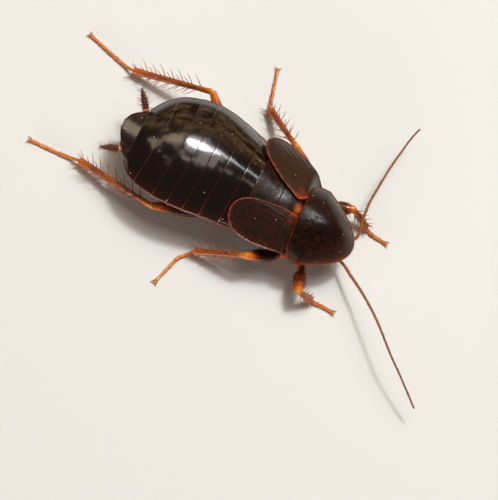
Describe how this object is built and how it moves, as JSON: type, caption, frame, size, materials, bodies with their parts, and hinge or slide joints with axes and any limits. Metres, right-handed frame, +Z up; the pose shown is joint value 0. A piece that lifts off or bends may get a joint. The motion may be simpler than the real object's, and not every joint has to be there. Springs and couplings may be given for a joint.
{
  "type": "wood cockroach model",
  "caption": "Life-size still model of a short-winged female wood cockroach standing on its feet, with spiny legs, long feelers, short wing pads and plated abdomen.",
  "frame": {"origin": "on the floor under the middle of the whole model, feelers and feet included", "axes": "+X towards the head, +Y to the animal's left, +Z up"},
  "size_m": [0.0251, 0.0152, 0.0039],
  "materials": {
    "black_cuticle": "mirror-glossy near-black horn with thin reddish-brown plate edges",
    "shield_cuticle": "glossy black-brown horn, thinner and redder towards its margins",
    "wing_cuticle": "thin leathery red-brown wing pad with raised veins and a paler rim",
    "amber_cuticle": "glossy amber to orange-brown leg horn, slightly translucent",
    "feeler_cuticle": "ringed red-brown feeler with a fine down",
    "eye_cuticle": "black faceted eye"
  },
  "bodies": {
    "root": {"abdomen": "black_cuticle", "cercus_left": "shield_cuticle", "cercus_right": "shield_cuticle", "coxa_front_left": "amber_cuticle", "coxa_front_right": "amber_cuticle", "coxa_hind_left": "amber_cuticle", "coxa_hind_right": "amber_cuticle", "coxa_middle_left": "amber_cuticle", "coxa_middle_right": "amber_cuticle", "eye_left": "eye_cuticle", "eye_right": "eye_cuticle", "femur_front_left": "amber_cuticle", "femur_front_right": "amber_cuticle", "femur_hind_left": "amber_cuticle", "femur_hind_right": "amber_cuticle", "femur_middle_left": "amber_cuticle", "femur_middle_right": "amber_cuticle", "flagellum_left": "feeler_cuticle", "flagellum_right": "feeler_cuticle", "head": "shield_cuticle", "mesothorax": "shield_cuticle", "metathorax": "shield_cuticle", "pronotum": "shield_cuticle", "prothorax": "shield_cuticle", "scape_left": "feeler_cuticle", "scape_right": "feeler_cuticle", "tail_plate": "black_cuticle", "tarsus_front_left": "amber_cuticle", "tarsus_front_right": "amber_cuticle", "tarsus_hind_left": "amber_cuticle", "tarsus_hind_right": "amber_cuticle", "tarsus_middle_left": "amber_cuticle", "tarsus_middle_right": "amber_cuticle", "tegmen_left": "wing_cuticle", "tegmen_right": "wing_cuticle", "tibia_front_left": "amber_cuticle", "tibia_front_right": "amber_cuticle", "tibia_hind_left": "amber_cuticle", "tibia_hind_right": "amber_cuticle", "tibia_middle_left": "amber_cuticle", "tibia_middle_right": "amber_cuticle"}
  },
  "joints": []
}
